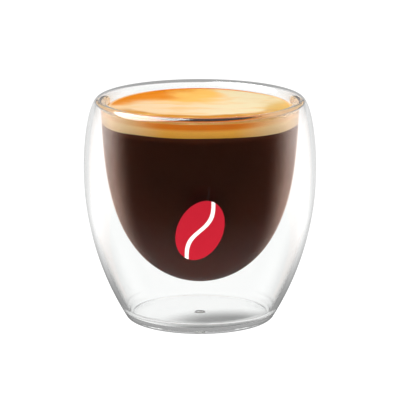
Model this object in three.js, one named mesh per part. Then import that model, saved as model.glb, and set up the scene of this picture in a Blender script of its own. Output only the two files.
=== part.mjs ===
// A double espresso in its double-walled glass: the glass, the coffee in it and the crema on top.
// Millimetres, +Z up, the origin at the centre of the base on the surface that the glass stands on.

import * as THREE from 'three';

// Driving dimensions of the glass outside
const GLASS_HEIGHT = 63.5;
const WIDEST_RADIUS = 33.0;
const WIDEST_HEIGHT = 43.3;
const RIM_RADIUS = 28.8;
const SHOULDER_POWER = 1.92;
const SIDE_ARC_RADIUS = 82.2;
const FOOT_CORNER_RADIUS = 1.6;

// Driving dimensions of the walls, the base and the vent in it
const OUTER_WALL = 1.4;
const INNER_WALL = 2.3;
const FLOOR_THICKNESS = 1.3;
const FLOOR_CORNER_WIDTH = 3.0;
const FLOOR_CORNER_HEIGHT = 2.5;
const VENT_RADIUS = 1.0;

// Driving dimensions of the inner bowl, taken on the side that faces the air gap
const BOWL_RADIUS = 28.0;
const BOWL_BOTTOM = 11.0;
const BOWL_REACH = 71.6;
const BOWL_POWER = 4;
const LIP_DEPTH = 3.6;

// Driving dimensions of the drink
const CREMA_TOP_DEPTH = 2.7;
const CREMA_THICKNESS = 3.8;
const MENISCUS_HEIGHT = 0.45;
const MENISCUS_WIDTH = 2.2;
const CREMA_RIPPLE = 0.12;
const BOUNDARY_RIPPLE = 0.35;

// Waves that make the liquid surfaces uneven: their length along X and Y, share and phase
const WAVES = [
  { lengthX: 56, lengthY: 900, share: 1, phase: 1.76 },
  { lengthX: -52, lengthY: 19, share: 0.3, phase: 0 },
];

// Clearance between pieces that touch
const FIT_GAP = 0.3;

// Height of the seal above the surface that the glass stands on
const SEAL_LIFT = 0.3;

// Fineness: sides of the round pieces, and steps along the stretches of an outline
const SIDES = 60;
const SEAL_SIDES = 20;
const LINING_STEPS = 12;
const LIP_STEPS = 5;
const SHOULDER_STEPS = 8;
const SIDE_STEPS = 8;
const CORNER_STEPS = 3;
const FLOOR_CORNER_STEPS = 5;
const MENISCUS_STEPS = 3;
const SURFACE_STEPS = 4;

const CREMA_TOP = GLASS_HEIGHT - CREMA_TOP_DEPTH;
const CREMA_BASE = CREMA_TOP - CREMA_THICKNESS;
const QUARTER_TURN = Math.PI / 2;

const point = (radius, height) => new THREE.Vector2(radius, height);

// Shares from 0 to 1 in equal steps, with both ends
function shares(steps) {
  return Array.from({ length: steps + 1 }, (_, i) => i / steps);
}

// An open outline moved sideways, to its left as it runs
function offset(outline, distance) {
  return outline.map((here, i) => {
    const before = outline[Math.max(i - 1, 0)];
    const after = outline[Math.min(i + 1, outline.length - 1)];
    const along = after.clone().sub(before).normalize();
    return point(here.x - along.y * distance, here.y + along.x * distance);
  });
}

// Outside of the glass: the foot's corner, a long arc up the side, then the shoulder up to the rim
const sideCentre = point(WIDEST_RADIUS - SIDE_ARC_RADIUS, WIDEST_HEIGHT);
const cornerReach = SIDE_ARC_RADIUS - FOOT_CORNER_RADIUS;
const cornerDrop = WIDEST_HEIGHT - FOOT_CORNER_RADIUS;
const footRadius = sideCentre.x + Math.sqrt(cornerReach ** 2 - cornerDrop ** 2);
const footAngle = -Math.asin(cornerDrop / cornerReach);

function footCorner() {
  return shares(CORNER_STEPS).map((t) => {
    const angle = -QUARTER_TURN + t * (footAngle + QUARTER_TURN);
    return point(
      footRadius + FOOT_CORNER_RADIUS * Math.cos(angle),
      FOOT_CORNER_RADIUS + FOOT_CORNER_RADIUS * Math.sin(angle),
    );
  });
}

function sideArc() {
  return shares(SIDE_STEPS).map((t) => {
    const angle = footAngle * (1 - t);
    return point(
      sideCentre.x + SIDE_ARC_RADIUS * Math.cos(angle),
      sideCentre.y + SIDE_ARC_RADIUS * Math.sin(angle),
    );
  });
}

function shoulder() {
  const across = WIDEST_RADIUS - RIM_RADIUS;
  const up = GLASS_HEIGHT - WIDEST_HEIGHT;
  return shares(SHOULDER_STEPS).map((t) => point(
    RIM_RADIUS + across * Math.cos(t * QUARTER_TURN) ** (2 / SHOULDER_POWER),
    WIDEST_HEIGHT + up * Math.sin(t * QUARTER_TURN) ** (2 / SHOULDER_POWER),
  ));
}

// Inner bowl on its air gap side, nearly straight at the top and round at the bottom
function bowlRadius(height) {
  const rise = (height - BOWL_BOTTOM) / BOWL_REACH;
  return BOWL_RADIUS * Math.sqrt(1 - (1 - rise) ** BOWL_POWER);
}

function bowlOutline(top) {
  return shares(LINING_STEPS).map((t) => {
    const height = BOWL_BOTTOM + (top - BOWL_BOTTOM) * t ** 2;
    return point(bowlRadius(height), height);
  });
}

// The bowl's outline moved inwards, from a point on the axis up to a height
function liningOutline(distance, top) {
  const lining = offset(bowlOutline(top), distance);
  lining[0].x = 0;
  lining[lining.length - 1].y = top;
  return lining;
}

// The lip of the inner bowl starts to roll outwards at this height
const lipStart = GLASS_HEIGHT - LIP_DEPTH;
const bowlAtLip = bowlRadius(lipStart);
const liningAtLip = bowlAtLip - INNER_WALL;

// A roll from a radius where the lip starts up to a crest on the ring of the rim
function lip(radius, top) {
  return shares(LIP_STEPS).map((t) => point(
    RIM_RADIUS - (RIM_RADIUS - radius) * Math.cos(t * QUARTER_TURN),
    lipStart + (top - lipStart) * Math.sin(t * QUARTER_TURN),
  ));
}

// Air gap: over its floor, up inside the outer wall to the rim, and down the bowl to the axis
function airGap() {
  const crest = GLASS_HEIGHT - OUTER_WALL;
  const wallInside = offset([...sideArc(), ...shoulder().slice(1)], OUTER_WALL)
    .filter((p) => p.y > FLOOR_THICKNESS + FLOOR_CORNER_HEIGHT && p.y < crest - OUTER_WALL / 10);
  const foot = wallInside[0];
  const floorCorner = shares(FLOOR_CORNER_STEPS).slice(0, -1).map((t) => point(
    foot.x - FLOOR_CORNER_WIDTH * (1 - Math.sin(t * QUARTER_TURN)),
    foot.y - (foot.y - FLOOR_THICKNESS) * Math.cos(t * QUARTER_TURN),
  ));
  return [
    point(VENT_RADIUS, FLOOR_THICKNESS),
    ...floorCorner,
    ...wallInside,
    ...lip(bowlAtLip, crest).reverse(),
    ...bowlOutline(lipStart).reverse().slice(1),
  ];
}

// A closed body of revolution about the Z axis
function turned(outline, sides) {
  const geometry = new THREE.LatheGeometry(outline, sides);
  geometry.rotateX(QUARTER_TURN);
  return geometry;
}

// Unevenness of a liquid surface at a place seen from above, as a share of its amplitude
function ripple(x, y) {
  const height = (wave) => {
    const turns = x / wave.lengthX + y / wave.lengthY;
    return wave.share * Math.sin(2 * Math.PI * turns + wave.phase);
  };
  return WAVES.reduce((sum, wave) => sum + height(wave), 0);
}

// The body with its points moved up or down by the ripple, each by the amplitude for its height
function rippled(geometry, amplitudeAt) {
  const place = geometry.getAttribute('position');
  for (let i = 0; i < place.count; i += 1) {
    const lift = amplitudeAt(place.getZ(i)) * ripple(place.getX(i), place.getY(i));
    place.setZ(i, place.getZ(i) + lift);
  }
  geometry.computeVertexNormals();
  return geometry;
}

// Rings across a liquid surface, from the wall in to the axis
function surfaceOutline(edge, height) {
  return shares(SURFACE_STEPS).slice(1).map((t) => point(edge * (1 - t), height));
}

function glassBody() {
  return turned([
    ...liningOutline(INNER_WALL, lipStart),
    ...lip(liningAtLip, GLASS_HEIGHT).slice(1),
    ...shoulder().reverse().slice(1),
    ...sideArc().reverse().slice(1),
    ...footCorner().reverse().slice(1),
    point(VENT_RADIUS, 0),
    ...airGap(),
  ].reverse(), SIDES);
}

// Coffee fills the bowl up to the crema
function coffeeBody() {
  const top = CREMA_BASE - FIT_GAP;
  const wall = liningOutline(INNER_WALL + FIT_GAP, top);
  const edge = wall[wall.length - 1].x;
  const body = turned([...wall, ...surfaceOutline(edge, top)], SIDES);
  return rippled(body, (z) => (z > top - FIT_GAP ? BOUNDARY_RIPPLE : 0));
}

// Crema lies on the coffee, follows the lip and climbs a little where it meets the glass
function cremaBody() {
  const lowEdge = bowlRadius(CREMA_BASE) - INNER_WALL - FIT_GAP;
  const meniscusTop = CREMA_TOP + MENISCUS_HEIGHT;
  const lipAngle = Math.asin((meniscusTop - lipStart) / LIP_DEPTH);
  const topEdge = RIM_RADIUS - (RIM_RADIUS - liningAtLip) * Math.cos(lipAngle) - FIT_GAP;
  const meniscus = shares(MENISCUS_STEPS).map((t) => point(
    topEdge - MENISCUS_WIDTH * t,
    CREMA_TOP + MENISCUS_HEIGHT * (1 - t) ** 2,
  ));
  const body = turned([
    ...surfaceOutline(lowEdge, CREMA_BASE).reverse(),
    point(lowEdge, CREMA_BASE),
    point(liningAtLip - FIT_GAP, lipStart),
    ...meniscus,
    ...surfaceOutline(topEdge - MENISCUS_WIDTH, CREMA_TOP),
  ], SIDES);
  const middle = (CREMA_TOP + CREMA_BASE) / 2;
  return rippled(body, (z) => (z > middle ? CREMA_RIPPLE : BOUNDARY_RIPPLE));
}

// Soft plug with rounded ends in the vent, held clear of the surface that the glass stands on
function ventSealBody() {
  const radius = VENT_RADIUS - FIT_GAP;
  const rounding = radius / 3;
  return turned([
    point(0, SEAL_LIFT),
    point(radius - rounding, SEAL_LIFT),
    point(radius, SEAL_LIFT + rounding),
    point(radius, FLOOR_THICKNESS - rounding),
    point(radius - rounding, FLOOR_THICKNESS),
    point(0, FLOOR_THICKNESS),
  ], SEAL_SIDES);
}

function piece(name, geometry, look) {
  const mesh = new THREE.Mesh(geometry, new THREE.MeshStandardMaterial(look));
  mesh.name = name;
  return mesh;
}

const clearGlass = {
  color: 0xf4f6f5, roughness: 0.03, metalness: 0, transparent: true, opacity: 0.35,
};
const darkCoffee = { color: 0x2a100b, roughness: 0.12, metalness: 0 };
const goldenFoam = { color: 0xe2a85a, roughness: 0.45, metalness: 0 };
const softWhite = { color: 0xe9e9e6, roughness: 0.6, metalness: 0 };

const doubleEspresso = new THREE.Group();
doubleEspresso.add(
  piece('glass', glassBody(), clearGlass),
  piece('coffee', coffeeBody(), darkCoffee),
  piece('crema', cremaBody(), goldenFoam),
  piece('vent_seal', ventSealBody(), softWhite),
);

export default doubleEspresso;
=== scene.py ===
import math

import bpy
import numpy as np
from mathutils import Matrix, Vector


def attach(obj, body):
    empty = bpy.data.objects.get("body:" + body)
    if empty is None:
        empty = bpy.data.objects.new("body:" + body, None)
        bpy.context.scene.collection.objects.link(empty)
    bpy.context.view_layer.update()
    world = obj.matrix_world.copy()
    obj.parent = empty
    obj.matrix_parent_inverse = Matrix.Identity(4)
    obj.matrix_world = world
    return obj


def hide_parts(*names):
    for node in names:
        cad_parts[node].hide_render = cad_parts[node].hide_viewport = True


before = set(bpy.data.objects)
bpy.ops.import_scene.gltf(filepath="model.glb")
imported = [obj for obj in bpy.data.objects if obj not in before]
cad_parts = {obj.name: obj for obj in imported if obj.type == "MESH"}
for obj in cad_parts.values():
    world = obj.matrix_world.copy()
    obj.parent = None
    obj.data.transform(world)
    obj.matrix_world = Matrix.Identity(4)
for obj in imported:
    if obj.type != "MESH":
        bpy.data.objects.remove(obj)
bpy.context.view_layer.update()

# A double espresso in its double-walled glass, in metres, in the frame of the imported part.
MM = 0.001

# The photograph's view: the camera is straight in front, a little above, and far off with a long lens
VIEW_ELEVATION = math.radians(13.04)
VIEW_DISTANCE = 853.5 * MM
VIEW_HEIGHT = 33.94 * MM
LENS_MM = 270.0
SENSOR_MM = 36.0
CLIP_START = 0.05
CLIP_END = 20.0

# Outside of the glass
GLASS_HEIGHT = 63.5 * MM
WIDEST_RADIUS = 33.0 * MM
WIDEST_HEIGHT = 43.3 * MM
RIM_RADIUS = 28.8 * MM
SHOULDER_POWER = 1.92
SIDE_ARC_RADIUS = 82.2 * MM
FOOT_CORNER_RADIUS = 1.6 * MM

# Walls, base and vent
OUTER_WALL = 1.4 * MM
INNER_WALL = 2.3 * MM
FLOOR_THICKNESS = 1.3 * MM
FLOOR_CORNER_WIDTH = 3.0 * MM
FLOOR_CORNER_HEIGHT = 2.5 * MM
VENT_RADIUS = 1.0 * MM
SEAL_LIFT = 0.3 * MM

# Inner bowl, on the side that faces the air gap
BOWL_RADIUS = 28.0 * MM
BOWL_BOTTOM = 11.0 * MM
BOWL_REACH = 71.6 * MM
BOWL_POWER = 4
LIP_DEPTH = 3.6 * MM

# The drink
CREMA_TOP = GLASS_HEIGHT - 2.7 * MM
CREMA_BASE = CREMA_TOP - 3.8 * MM
MENISCUS_HEIGHT = 0.45 * MM
MENISCUS_WIDTH = 2.2 * MM
CREMA_RIPPLE = 0.12 * MM
BOUNDARY_RIPPLE = 0.35 * MM
WALL_BITE = 0.05 * MM

# Waves of the liquid surfaces: their length along X and Y, share and phase
WAVES = (
    (56 * MM, 900 * MM, 1.0, 1.76),
    (-52 * MM, 19 * MM, 0.3, 0.0),
)

# Emblem printed on the front: a coffee bean, leaning to the right, with a light seam
BEAN_CENTRE = 32.7 * MM
BEAN_WIDTH = 12.6 * MM
BEAN_LENGTH = 18.0 * MM
BEAN_TILT = math.radians(24)
SEAM_SWING = 1.3 * MM
SEAM_WIDTH = 1.1 * MM
PRINT_THICKNESS = 0.02 * MM
BEAN_RINGS = 10
BEAN_SIDES = 72

# Fineness of the surfaces of revolution
SIDES = 192
FINE_STEPS = 48
CORNER_STEPS = 8
SURFACE_STEPS = 24
SEAL_SIDES = 48
SEAL_STEPS = 6
QUARTER_TURN = math.pi / 2


def shares(steps):
    """Shares from 0 to 1 in equal steps, with both ends."""
    return np.linspace(0.0, 1.0, steps + 1)


def offset(outline, distance):
    """An open outline moved sideways, to its left as it runs."""
    points = np.asarray(outline)
    along = np.gradient(points, axis=0)
    along /= np.linalg.norm(along, axis=1)[:, None]
    return points + distance * np.column_stack((-along[:, 1], along[:, 0]))


# Outside of the glass: the foot's corner, a long arc up the side, then the shoulder up to the rim
side_centre = (WIDEST_RADIUS - SIDE_ARC_RADIUS, WIDEST_HEIGHT)
corner_reach = SIDE_ARC_RADIUS - FOOT_CORNER_RADIUS
corner_drop = WIDEST_HEIGHT - FOOT_CORNER_RADIUS
foot_radius = side_centre[0] + math.sqrt(corner_reach**2 - corner_drop**2)
foot_angle = -math.asin(corner_drop / corner_reach)


def arc(centre, radius, start, end, steps):
    angles = start + (end - start) * shares(steps)
    return np.column_stack((
        centre[0] + radius * np.cos(angles),
        centre[1] + radius * np.sin(angles),
    ))


def foot_corner():
    centre = (foot_radius, FOOT_CORNER_RADIUS)
    return arc(centre, FOOT_CORNER_RADIUS, -QUARTER_TURN, foot_angle, CORNER_STEPS)


def side_arc():
    return arc(side_centre, SIDE_ARC_RADIUS, foot_angle, 0.0, FINE_STEPS)


def shoulder():
    angles = shares(FINE_STEPS) * QUARTER_TURN
    power = 2 / SHOULDER_POWER
    radii = RIM_RADIUS + (WIDEST_RADIUS - RIM_RADIUS) * np.maximum(np.cos(angles), 0.0) ** power
    heights = WIDEST_HEIGHT + (GLASS_HEIGHT - WIDEST_HEIGHT) * np.sin(angles) ** power
    return np.column_stack((radii, heights))


def bowl_radius(height):
    rise = (height - BOWL_BOTTOM) / BOWL_REACH
    return BOWL_RADIUS * np.sqrt(np.maximum(1 - (1 - rise) ** BOWL_POWER, 0.0))


def bowl_outline(top):
    heights = BOWL_BOTTOM + (top - BOWL_BOTTOM) * shares(FINE_STEPS) ** 2
    return np.column_stack((bowl_radius(heights), heights))


def lining_outline(distance, top):
    """The bowl's outline moved inwards, from a point on the axis up to a height."""
    lining = offset(bowl_outline(top), distance)
    lining[0, 0] = 0.0
    lining[-1, 1] = top
    return lining


lip_start = GLASS_HEIGHT - LIP_DEPTH
bowl_at_lip = bowl_radius(lip_start)
lining_at_lip = bowl_at_lip - INNER_WALL


def lip(radius, top):
    """A roll from a radius where the lip starts up to a crest above the ring of the rim."""
    angles = shares(CORNER_STEPS * 2) * QUARTER_TURN
    radii = RIM_RADIUS - (RIM_RADIUS - radius) * np.cos(angles)
    return np.column_stack((radii, lip_start + (top - lip_start) * np.sin(angles)))


def level(start, end, height):
    """Rings of a flat stretch, close enough to keep its smooth shading flat."""
    radii = start + (end - start) * shares(FINE_STEPS // 2)
    return np.column_stack((radii, np.full(len(radii), height)))


def air_gap():
    """Over its floor, up inside the outer wall to the rim, and down the bowl to the axis."""
    wall = offset(np.vstack((side_arc(), shoulder()[1:])), OUTER_WALL)
    foot = wall[wall[:, 1] > FLOOR_THICKNESS + FLOOR_CORNER_HEIGHT][0]
    crest = GLASS_HEIGHT - OUTER_WALL
    wall = wall[(wall[:, 1] > foot[1]) & (wall[:, 1] < crest - OUTER_WALL / 20)]
    angles = shares(FINE_STEPS // 2) * QUARTER_TURN
    corner = np.column_stack((
        foot[0] - FLOOR_CORNER_WIDTH * (1 - np.sin(angles)),
        foot[1] - (foot[1] - FLOOR_THICKNESS) * np.cos(angles),
    ))
    crown = lip(bowl_at_lip, crest)[::-1]
    bowl = bowl_outline(lip_start)[::-1]
    floor = level(VENT_RADIUS, corner[0, 0], FLOOR_THICKNESS)
    return np.vstack((floor, corner[1:], wall, crown, bowl[1:]))


def turned(name, outline, sides=SIDES, lift=None):
    """A closed smooth body of revolution about Z, its outline running from the axis to the axis."""
    radii, heights = np.asarray(outline)[1:-1].T
    angles = np.arange(sides) * (2 * math.pi / sides)
    x = np.outer(radii, np.cos(angles))
    y = np.outer(radii, np.sin(angles))
    z = np.repeat(heights[:, None], sides, axis=1)
    rings = np.stack((x, y, z), axis=-1).reshape(-1, 3)
    ends = np.array([(0.0, 0.0, outline[0][1]), (0.0, 0.0, outline[-1][1])])
    points = np.vstack((rings, ends))
    if lift is not None:
        points[:, 2] += lift(points[:, 0], points[:, 1], points[:, 2])
    first, last = len(rings), len(rings) + 1
    column = np.arange(sides)
    after = (column + 1) % sides
    faces = []
    for ring in range(len(radii) - 1):
        a, b = ring * sides, (ring + 1) * sides
        faces += np.column_stack((a + column, a + after, b + after, b + column)).tolist()
    faces += [(first, int(j), int(i)) for i, j in zip(column, after)]
    base = (len(radii) - 1) * sides
    faces += [(last, int(base + i), int(base + j)) for i, j in zip(column, after)]
    mesh = bpy.data.meshes.new(name)
    mesh.from_pydata(points.tolist(), [], faces)
    mesh.polygons.foreach_set("use_smooth", [True] * len(mesh.polygons))
    mesh.update()
    piece = bpy.data.objects.new(name, mesh)
    bpy.context.scene.collection.objects.link(piece)
    return piece


def ripple(x, y):
    """Unevenness of a liquid surface at a place seen from above, as a share of its amplitude."""
    total = 0.0
    for length_x, length_y, share, phase in WAVES:
        total = total + share * np.sin(2 * math.pi * (x / length_x + y / length_y) + phase)
    return total


WHITE = (1.0, 1.0, 1.0, 1.0)
GLASS_IOR = 1.47


class Nodes:
    """Short forms for building one material or world."""

    def __init__(self, owner):
        owner.use_nodes = True
        self.tree = owner.node_tree
        self.tree.nodes.clear()

    def add(self, kind, **settings):
        node = self.tree.nodes.new(kind)
        for key, value in settings.items():
            setattr(node, key, value)
        return node

    def link(self, source, target):
        self.tree.links.new(source, target)

    def put(self, value, socket):
        if isinstance(value, bpy.types.NodeSocket):
            self.link(value, socket)
        else:
            socket.default_value = value

    def maths(self, operation, *values):
        node = self.add("ShaderNodeMath", operation=operation)
        for value, socket in zip(values, node.inputs):
            self.put(value, socket)
        return node.outputs[0]

    def product(self, first, *others):
        for other in others:
            first = self.maths("MULTIPLY", first, other)
        return first

    def vector(self, operation, *values):
        node = self.add("ShaderNodeVectorMath", operation=operation)
        for value, socket in zip(values, node.inputs):
            self.put(value, socket)
        return node.outputs["Value" if operation in ("DOT_PRODUCT", "LENGTH") else "Vector"]

    def from_axis(self, place):
        """How far a place is from the Z axis."""
        return self.vector("LENGTH", self.vector("MULTIPLY", place, (1.0, 1.0, 0.0)))

    def ramp(self, value, low, high, start=0.0, end=1.0):
        """A soft step from one level to another, between a low and a high value."""
        node = self.add("ShaderNodeMapRange", interpolation_type="SMOOTHSTEP")
        for key, number in (("From Min", low), ("From Max", high), ("To Min", start), ("To Max", end)):
            node.inputs[key].default_value = number
        self.put(value, node.inputs["Value"])
        return node.outputs["Result"]

    def blend(self, factor, first, second):
        """A number between two numbers."""
        node = self.add("ShaderNodeMix", data_type="FLOAT")
        self.put(factor, node.inputs[0])
        self.put(first, node.inputs[2])
        self.put(second, node.inputs[3])
        return node.outputs[0]

    def mix(self, factor, first, second):
        """A colour between two colours."""
        node = self.add("ShaderNodeMix", data_type="RGBA")
        self.put(factor, node.inputs[0])
        self.put(first, node.inputs[6])
        self.put(second, node.inputs[7])
        return node.outputs[2]

    def noise(self, vector, scale, detail=2.0):
        node = self.add("ShaderNodeTexNoise")
        self.link(vector, node.inputs["Vector"])
        node.inputs["Scale"].default_value = scale
        node.inputs["Detail"].default_value = detail
        return node.outputs["Fac"]

    def place(self):
        return self.add("ShaderNodeTexCoord").outputs["Object"]

    def split(self, vector):
        node = self.add("ShaderNodeSeparateXYZ")
        self.link(vector, node.inputs[0])
        return node.outputs

    def bump(self, height, strength, distance):
        node = self.add("ShaderNodeBump")
        node.inputs["Strength"].default_value = strength
        node.inputs["Distance"].default_value = distance
        self.link(height, node.inputs["Height"])
        return node.outputs["Normal"]

    def principled(self, **inputs):
        shader = self.add("ShaderNodeBsdfPrincipled")
        for key, value in inputs.items():
            self.put(value, shader.inputs[key.replace("_", " ")])
        output = self.add("ShaderNodeOutputMaterial")
        self.link(shader.outputs[0], output.inputs["Surface"])


def colour(red, green, blue):
    """A display colour, each from 0 to 255, as a linear one."""
    def linear(value):
        share = value / 255
        return share / 12.92 if share <= 0.04045 else ((share + 0.055) / 1.055) ** 2.4

    return (linear(red), linear(green), linear(blue), 1.0)


# Blown glass: faint waves in its surface
WAVINESS_SCALE = 60.0
WAVINESS_STRENGTH = 0.12
WAVINESS_DEPTH = 0.3 * MM

# Painted glow: the glass gives out light for what a wall carries on after three reflections, where the
# renderer drops a ray.
# It is full in the middle of the rim, and PIPED_AWAY is what is left of it further out and below.
PIPED_LIGHT = 0.34
PIPED_AWAY = 0.35
PIPED_WIDTH = (12 * MM, 20 * MM)
PIPED_HEIGHT = (55 * MM, 60 * MM)
THIRD_REFLECTION = (2.4, 2.6)


def glass_material():
    material = bpy.data.materials.new("clear_glass")
    n = Nodes(material)
    place = n.place()
    waviness = n.noise(place, WAVINESS_SCALE, detail=1.0)
    x, _, z = n.split(place)
    # Painted glow of the glass after three reflections, full in the middle of the rim
    trapped = n.add("ShaderNodeLightPath").outputs["Glossy Depth"]
    at_rim = n.ramp(n.maths("ABSOLUTE", x), *PIPED_WIDTH, 1.0, PIPED_AWAY)
    share = n.blend(n.ramp(z, *PIPED_HEIGHT), PIPED_AWAY, at_rim)
    painted_glow = n.maths("MULTIPLY", n.ramp(trapped, *THIRD_REFLECTION, 0.0, PIPED_LIGHT), share)
    n.principled(
        Emission_Color=WHITE,
        Emission_Strength=painted_glow,
        Base_Color=(0.985, 0.992, 0.988, 1.0),
        Roughness=0.0,
        IOR=GLASS_IOR,
        Transmission_Weight=1.0,
        Normal=n.bump(waviness, WAVINESS_STRENGTH, WAVINESS_DEPTH),
    )
    return material


# Coffee: nearly black, redder towards the bottom of the bowl, in linear colours
COFFEE_DARK = (0.022, 0.0015, 0.0012, 1.0)
COFFEE_LIGHT = (0.03, 0.0028, 0.002, 1.0)
COFFEE_RED = (0.044, 0.003, 0.0034, 1.0)
COFFEE_GLOSS_TINT = (1.0, 0.34, 0.15, 1.0)
RED_HEIGHT = (14 * MM, 48 * MM)


def coffee_material():
    material = bpy.data.materials.new("coffee")
    n = Nodes(material)
    place = n.place()
    z = n.split(place)["Z"]
    dark = n.mix(n.noise(place, 70.0), COFFEE_DARK, COFFEE_LIGHT)
    n.principled(
        Base_Color=n.mix(n.ramp(z, *RED_HEIGHT, 1.0, 0.0), dark, COFFEE_RED),
        Roughness=0.45,
        Specular_IOR_Level=1.0,
        Specular_Tint=COFFEE_GLOSS_TINT,
    )
    return material


# Crema seen from above: how far its swirls push the borders between its tones aside
CREMA_SWIRL = 30 * MM
CRESCENT_SWIRL = 10 * MM
CREMA_SWIRL_SCALE = 60.0
VEIN_SCALE = 260.0
VEIN_STRETCH = (0.35, 1.0, 1.0)
FOAM_SCALE = 2500.0

# The browner crescent of painted shade along the front wall, where the crema meets the glass, is what
# lies outside a circle about this place
CRESCENT_CENTRE = (0.0, 11.7 * MM, 0.0)
CRESCENT_RADIUS = (22.8 * MM, 25.4 * MM)
BURNT_SLANT = -0.43

# The browner ring of painted shade that shows through the glass near the top of the crema's side
RING_HEIGHT = (58.9 * MM, 59.9 * MM)
SIDE_BORDER = 0.3 * MM


def crema_from_above(n, place):
    """Cream in the middle, paler and then golden to the right, golden and burnt behind on the left."""
    x, y, _ = n.split(place)
    swirl = n.maths("SUBTRACT", n.noise(place, CREMA_SWIRL_SCALE, detail=3.0), 0.5)
    across = n.maths("MULTIPLY_ADD", swirl, CREMA_SWIRL, x)
    deep = n.maths("MULTIPLY_ADD", swirl, CREMA_SWIRL, y)

    tone = n.mix(n.ramp(across, -6 * MM, 12 * MM), colour(240, 207, 163), colour(238, 220, 178))
    tone = n.mix(n.ramp(across, 14 * MM, 25 * MM), tone, colour(222, 180, 98))
    stretched = n.vector("MULTIPLY", place, VEIN_STRETCH)
    veins = n.ramp(n.noise(stretched, VEIN_SCALE, detail=3.0), 0.48, 0.72, 0.0, 0.5)
    tone = n.mix(veins, tone, colour(240, 186, 104))

    golden = n.product(n.ramp(deep, 3 * MM, 11 * MM), n.ramp(across, 1 * MM, 10 * MM, 1.0, 0.0))
    tone = n.mix(golden, tone, colour(246, 188, 92))
    slant = n.maths("MULTIPLY_ADD", across, BURNT_SLANT, deep)
    burnt = n.product(n.ramp(slant, 11 * MM, 20 * MM), n.ramp(across, -9 * MM, 2 * MM, 1.0, 0.0))
    tone = n.mix(burnt, tone, colour(226, 130, 8))

    # Painted shade: a browner crescent along the front wall, where the crema meets the glass
    from_centre = n.from_axis(n.vector("SUBTRACT", place, CRESCENT_CENTRE))
    shaded_crescent = n.product(
        n.ramp(n.maths("MULTIPLY_ADD", swirl, CRESCENT_SWIRL, from_centre), *CRESCENT_RADIUS),
        n.ramp(y, -8 * MM, 2 * MM, 1.0, 0.0),
        n.ramp(across, 10 * MM, 24 * MM, 1.0, 0.6),
    )
    return n.mix(shaded_crescent, tone, n.mix(veins, colour(202, 132, 20), colour(246, 200, 120)))


def crema_from_side(n, place):
    """Golden in the middle and paler to the left and right with a painted reflection, with a browner
    ring of painted shade near the top.
    """
    x, _, z = n.split(place)
    aside = n.maths("ABSOLUTE", x)
    # Paler to the left and right: painted reflection. The browner ring near the top: painted shade.
    tone = n.mix(n.ramp(aside, 8 * MM, 22 * MM), colour(244, 176, 70), colour(252, 218, 168))
    ring = n.product(n.ramp(z, *RING_HEIGHT), n.ramp(aside, 8 * MM, 21 * MM, 1.0, 0.2))
    return n.mix(ring, tone, colour(228, 118, 4))


def crema_material():
    material = bpy.data.materials.new("crema")
    n = Nodes(material)
    place = n.place()
    at_wall = n.ramp(n.from_axis(place), lining_at_lip - SIDE_BORDER, lining_at_lip)
    n.principled(
        Base_Color=n.mix(at_wall, crema_from_above(n, place), crema_from_side(n, place)),
        Roughness=0.7,
        Specular_IOR_Level=0.05,
        Normal=n.bump(n.noise(place, FOAM_SCALE), 0.1, 0.1 * MM),
    )
    return material


def silicone_material():
    material = bpy.data.materials.new("silicone")
    n = Nodes(material)
    grain = n.noise(n.place(), 900.0)
    n.principled(
        Base_Color=n.mix(grain, colour(246, 246, 243), colour(252, 252, 250)),
        Roughness=0.2,
        IOR=GLASS_IOR,
        Transmission_Weight=0.9,
    )
    return material


# Red ink and the seam of the bean, in linear colours
INK_DARK = (0.22, 0.0022, 0.009, 1.0)
INK_LIGHT = (0.24, 0.0026, 0.01, 1.0)
SEAM_COLOUR = (0.5, 0.48, 0.46, 1.0)


def print_material():
    material = bpy.data.materials.new("red_print")
    n = Nodes(material)
    place = n.place()
    x, _, z = n.split(place)
    up = n.maths("SUBTRACT", z, BEAN_CENTRE)
    sine, cosine = math.sin(BEAN_TILT), math.cos(BEAN_TILT)
    along = n.maths("MULTIPLY_ADD", x, sine, n.maths("MULTIPLY", up, cosine))
    aside = n.maths("MULTIPLY_ADD", x, cosine, n.maths("MULTIPLY", up, -sine))
    turn = n.maths("MULTIPLY", along, 2 * math.pi / BEAN_LENGTH)
    swing = n.maths("MULTIPLY", n.maths("SINE", turn), SEAM_SWING)
    from_seam = n.maths("ABSOLUTE", n.maths("SUBTRACT", aside, swing))
    seam = n.ramp(from_seam, SEAM_WIDTH * 0.4, SEAM_WIDTH * 0.6, 1.0, 0.0)
    n.principled(
        Base_Color=n.mix(seam, n.mix(n.noise(place, 400.0), INK_DARK, INK_LIGHT), SEAM_COLOUR),
        Roughness=0.5,
        Specular_IOR_Level=0.05,
    )
    return material


# The studio is a white surround and a white floor that give out their own light. Each has a level for
# what is seen straight or through glass, one for what lights a matte surface, and one for reflections.
WHITE_LEVEL = 1.13

# Light on matte surfaces: from the front, from the sides and behind, from the top and from the floor
FRONT_FILL = 2.2
SIDE_FILL = 4.6
TOP_FILL = 1.15
FLOOR_FILL = 4.0
FRONT_TO_SIDE = (-0.9, 0.3)
SIDE_TO_TOP = (0.05, 0.5)

# Reflections: dark in front and bright at the sides, softer behind, with a pale ceiling and a top light
DARK_SIDE = 0.015
BRIGHT_SIDE = 1.5
BACK_SIDE = 0.8
DARK_TO_BRIGHT = (-0.15, 0.5)
BRIGHT_TO_BACK = (0.45, 0.85)
DARK_SIDE_ABOVE = 0.2
DIM_SKY_FROM = (0.15, 0.6)
OVERHEAD = 0.9
OVERHEAD_FROM = (0.55, 0.95)
TOP_LIGHT = Vector((-0.55, 0.1, 0.83)).normalized()
TOP_LIGHT_EDGE = (0.85, 0.9)
TOP_LIGHT_STRENGTH = 20.0

# Reflections of the floor round the foot, out to a distance, and in the wall nearest to the camera
NEAR_FLOOR = 0.08
NEAR_FLOOR_IN_WALL = 0.4
NEAR_REACH = 120 * MM

# Light that the bowl mirrors, painted warm to stand in for coffee shining through at its edge
WARM_LIGHT = (1.32, 0.88, 0.72, 1.0)
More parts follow.
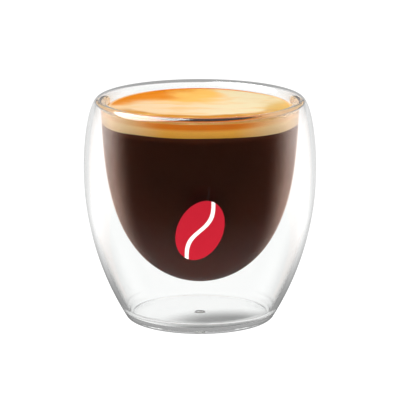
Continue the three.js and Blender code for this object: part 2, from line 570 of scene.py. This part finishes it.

# The floor under the foot: a painted contact shadow, a soft grey patch off its middle, and a painted
# pool of light, brighter than white, around that
FLOOR_SIZE = 6.0
FLOOR_DROP = 0.02 * MM
UNDER_GLASS = 1.35
CONTACT_SHADE = 0.2
CONTACT_PLACE = (8 * MM, -14 * MM, 0.0)
CONTACT_SPREAD = (0.85, 1.0, 1.0)
CONTACT_CORE = 8 * MM
CONTACT_REACH = 20 * MM
FOOT_EDGE = (foot_radius * 0.97, foot_radius)


def by_path(n, direct, soft, mirrored):
    """One level for what is seen straight or through glass, one for lighting, one for reflections."""
    path = n.add("ShaderNodeLightPath").outputs
    bounces = n.maths("ADD", path["Glossy Depth"], path["Diffuse Depth"])
    is_direct = n.maths("LESS_THAN", bounces, 0.5)
    is_soft = n.maths("GREATER_THAN", path["Diffuse Depth"], 0.5)
    return n.blend(is_direct, n.blend(is_soft, mirrored, soft), direct)


def bowl_tint(n):
    """Painted warm where light comes off the bowl's outer face and through the outer wall, else white.
    """
    path = n.add("ShaderNodeLightPath").outputs
    once = n.maths("COMPARE", path["Glossy Depth"], 1.0, 0.5)
    two_walls = n.maths("COMPARE", path["Transmission Depth"], 4.0, 0.5)
    unscattered = n.maths("LESS_THAN", path["Diffuse Depth"], 0.5)
    return n.mix(n.product(once, two_walls, unscattered), WHITE, WARM_LIGHT)


def backness(n, x, y):
    """From -1 towards the photograph's camera, over 0 at the sides, to 1 behind the glass."""
    across = n.maths("SQRT", n.maths("ADD", n.maths("MULTIPLY", x, x), n.maths("MULTIPLY", y, y)))
    return n.maths("DIVIDE", y, n.maths("MAXIMUM", across, 0.001))


def mirrored_ring(n, back):
    """What shines in the glass from low down: dark in front, bright at the sides, softer behind."""
    sides = n.ramp(back, *DARK_TO_BRIGHT, DARK_SIDE, BRIGHT_SIDE)
    return n.blend(n.ramp(back, *BRIGHT_TO_BACK), sides, BACK_SIDE)


def make_world():
    world = bpy.data.worlds.new("studio")
    bpy.context.scene.world = world
    world.cycles.sampling_method = "NONE"
    n = Nodes(world)
    direction = n.add("ShaderNodeTexCoord").outputs["Generated"]
    x, y, z = n.split(direction)
    back = backness(n, x, y)

    fill = n.ramp(back, *FRONT_TO_SIDE, FRONT_FILL, SIDE_FILL)
    soft = n.blend(n.ramp(z, *SIDE_TO_TOP), fill, TOP_FILL)

    dim_sky = n.ramp(z, *DIM_SKY_FROM, 0.0, DARK_SIDE_ABOVE)
    ceiling = n.ramp(z, *OVERHEAD_FROM, 0.0, OVERHEAD)
    around = n.maths("MAXIMUM", mirrored_ring(n, back), n.maths("MAXIMUM", dim_sky, ceiling))
    nearness = n.vector("DOT_PRODUCT", direction, tuple(TOP_LIGHT))
    outside = n.maths("LESS_THAN", n.add("ShaderNodeLightPath").outputs["Transmission Depth"], 0.5)
    top_light = n.ramp(nearness, *TOP_LIGHT_EDGE, 0.0, TOP_LIGHT_STRENGTH)
    mirrored = n.maths("ADD", around, n.maths("MULTIPLY", outside, top_light))

    background = n.add("ShaderNodeBackground")
    n.link(by_path(n, WHITE_LEVEL, soft, mirrored), background.inputs["Strength"])
    output = n.add("ShaderNodeOutputWorld")
    n.link(background.outputs[0], output.inputs["Surface"])


def floor_material():
    material = bpy.data.materials.new("pale_floor")
    n = Nodes(material)
    place = n.place()
    x, y, _ = n.split(place)
    from_axis = n.from_axis(place)

    # Painted contact shadow in a painted pool of light under the foot
    from_patch = n.vector("MULTIPLY", n.vector("SUBTRACT", place, CONTACT_PLACE), CONTACT_SPREAD)
    shade = n.ramp(n.from_axis(from_patch), CONTACT_CORE, CONTACT_REACH, CONTACT_SHADE, UNDER_GLASS)
    direct = n.blend(n.ramp(from_axis, *FOOT_EDGE), shade, WHITE_LEVEL)

    transmitted = n.add("ShaderNodeLightPath").outputs["Transmission Depth"]
    in_wall = n.maths("COMPARE", transmitted, 2.0, 0.5)
    near = n.blend(in_wall, NEAR_FLOOR, NEAR_FLOOR_IN_WALL)
    far = n.ramp(from_axis, foot_radius, NEAR_REACH)
    mirrored = n.blend(far, near, mirrored_ring(n, backness(n, x, y)))

    emission = n.add("ShaderNodeEmission")
    n.link(by_path(n, direct, FLOOR_FILL, mirrored), emission.inputs["Strength"])
    n.link(bowl_tint(n), emission.inputs["Color"])
    output = n.add("ShaderNodeOutputMaterial")
    n.link(emission.outputs[0], output.inputs["Surface"])
    material.cycles.emission_sampling = "NONE"
    return material


def make_floor():
    half = FLOOR_SIZE / 2
    mesh = bpy.data.meshes.new("floor")
    corners = [(-half, -half, 0.0), (half, -half, 0.0), (half, half, 0.0), (-half, half, 0.0)]
    mesh.from_pydata(corners, [], [(0, 1, 2, 3)])
    floor = bpy.data.objects.new("floor", mesh)
    bpy.context.scene.collection.objects.link(floor)
    floor.location.z = -FLOOR_DROP
    floor.data.materials.append(floor_material())


def make_camera():
    data = bpy.data.cameras.new("camera")
    data.lens = LENS_MM
    data.sensor_width = SENSOR_MM
    camera = bpy.data.objects.new("camera", data)
    bpy.context.scene.collection.objects.link(camera)
    camera.location = (
        0.0,
        -VIEW_DISTANCE * math.cos(VIEW_ELEVATION),
        VIEW_HEIGHT + VIEW_DISTANCE * math.sin(VIEW_ELEVATION),
    )
    camera.rotation_euler = (QUARTER_TURN - VIEW_ELEVATION, 0.0, 0.0)
    data.clip_start = CLIP_START
    data.clip_end = CLIP_END
    bpy.context.scene.camera = camera


def make_glass():
    outline = np.vstack((
        lining_outline(INNER_WALL, lip_start),
        lip(lining_at_lip, GLASS_HEIGHT)[1:],
        shoulder()[::-1][1:],
        side_arc()[::-1][1:],
        foot_corner()[::-1][1:],
        level(foot_radius, VENT_RADIUS, 0.0)[1:],
        air_gap(),
    ))[::-1]
    glass = turned("glass_body", outline)
    glass.data.materials.append(glass_material())
    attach(glass, "root")
    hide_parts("glass")


def surface_outline(edge, height):
    """Rings across a liquid surface, from the wall in to the axis."""
    radii = edge * (1 - shares(SURFACE_STEPS)[1:])
    return np.column_stack((radii, np.full(len(radii), height)))


def make_coffee():
    wall = lining_outline(INNER_WALL - WALL_BITE, CREMA_BASE)
    outline = np.vstack((wall, surface_outline(wall[-1, 0], CREMA_BASE)))

    def lift(x, y, z):
        return np.where(z > CREMA_BASE - WALL_BITE, BOUNDARY_RIPPLE * ripple(x, y), 0.0)

    coffee = turned("coffee_fill", outline, lift=lift)
    coffee.data.materials.append(coffee_material())
    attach(coffee, "root")
    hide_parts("coffee")


def make_crema():
    base = CREMA_BASE - WALL_BITE / 2
    low_edge = bowl_radius(base) - INNER_WALL + WALL_BITE
    meniscus_top = CREMA_TOP + MENISCUS_HEIGHT
    roll = lip(lining_at_lip, GLASS_HEIGHT) + (WALL_BITE, 0.0)
    edge = roll[roll[:, 1] < meniscus_top]
    top_edge = np.interp(meniscus_top, roll[:, 1], roll[:, 0])
    t = shares(CORNER_STEPS)
    meniscus = np.column_stack((
        top_edge - MENISCUS_WIDTH * t,
        CREMA_TOP + MENISCUS_HEIGHT * (1 - t) ** 2,
    ))
    outline = np.vstack((
        surface_outline(low_edge, base)[::-1],
        [(low_edge, base)],
        edge,
        meniscus,
        surface_outline(top_edge - MENISCUS_WIDTH, CREMA_TOP),
    ))
    middle = (CREMA_TOP + CREMA_BASE) / 2

    def lift(x, y, z):
        return np.where(z > middle, CREMA_RIPPLE, BOUNDARY_RIPPLE) * ripple(x, y)

    crema = turned("crema_layer", outline, lift=lift)
    crema.data.materials.append(crema_material())
    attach(crema, "root")
    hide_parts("crema")


def make_emblem():
    """A thin oval layer that follows the outer wall, seen as a coffee bean."""
    rings = shares(BEAN_RINGS)[1:, None]
    around = np.arange(BEAN_SIDES) * (2 * math.pi / BEAN_SIDES)
    u = np.append((rings * BEAN_WIDTH / 2 * np.cos(around)).ravel(), 0.0)
    v = np.append((rings * BEAN_LENGTH / 2 * np.sin(around)).ravel(), 0.0)
    sine, cosine = math.sin(BEAN_TILT), math.cos(BEAN_TILT)
    across = u * cosine + v * sine
    heights = BEAN_CENTRE + v * cosine - u * sine
    wall = side_centre[0] + np.sqrt(SIDE_ARC_RADIUS**2 - (heights - WIDEST_HEIGHT) ** 2)
    angles = across / wall - QUARTER_TURN
    layers = [
        np.column_stack(((wall + lift) * np.cos(angles), (wall + lift) * np.sin(angles), heights))
        for lift in (PRINT_THICKNESS, -PRINT_THICKNESS / 4)
    ]
    count = len(u)
    faces = []
    for i in range(BEAN_SIDES):
        j = (i + 1) % BEAN_SIDES
        front = [(count - 1, i, j)]
        for ring in range(BEAN_RINGS - 1):
            a, b = ring * BEAN_SIDES, (ring + 1) * BEAN_SIDES
            front.append((a + i, b + i, b + j, a + j))
        faces += front
        faces += [tuple(count + corner for corner in reversed(face)) for face in front]
        edge = (BEAN_RINGS - 1) * BEAN_SIDES
        faces.append((edge + i, count + edge + i, count + edge + j, edge + j))
    mesh = bpy.data.meshes.new("bean_emblem")
    mesh.from_pydata(np.vstack(layers).tolist(), [], faces)
    mesh.update()
    emblem = bpy.data.objects.new("bean_emblem", mesh)
    bpy.context.scene.collection.objects.link(emblem)
    mesh.materials.append(print_material())
    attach(emblem, "root")


def make_seal():
    radius = VENT_RADIUS + WALL_BITE
    rounding = radius / 8
    inset = radius - rounding
    lower = arc((inset, SEAL_LIFT + rounding), rounding, -QUARTER_TURN, 0.0, SEAL_STEPS)
    upper = arc((inset, FLOOR_THICKNESS - rounding), rounding, 0.0, QUARTER_TURN, SEAL_STEPS)
    outline = np.vstack(([(0.0, SEAL_LIFT)], lower, upper, [(0.0, FLOOR_THICKNESS)]))
    seal = turned("seal_plug", outline, sides=SEAL_SIDES)
    seal.data.materials.append(silicone_material())
    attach(seal, "root")
    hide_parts("vent_seal")


make_camera()
make_world()
make_floor()
make_glass()
make_coffee()
make_crema()
make_seal()
make_emblem()

bpy.context.scene.view_settings.view_transform = "Standard"
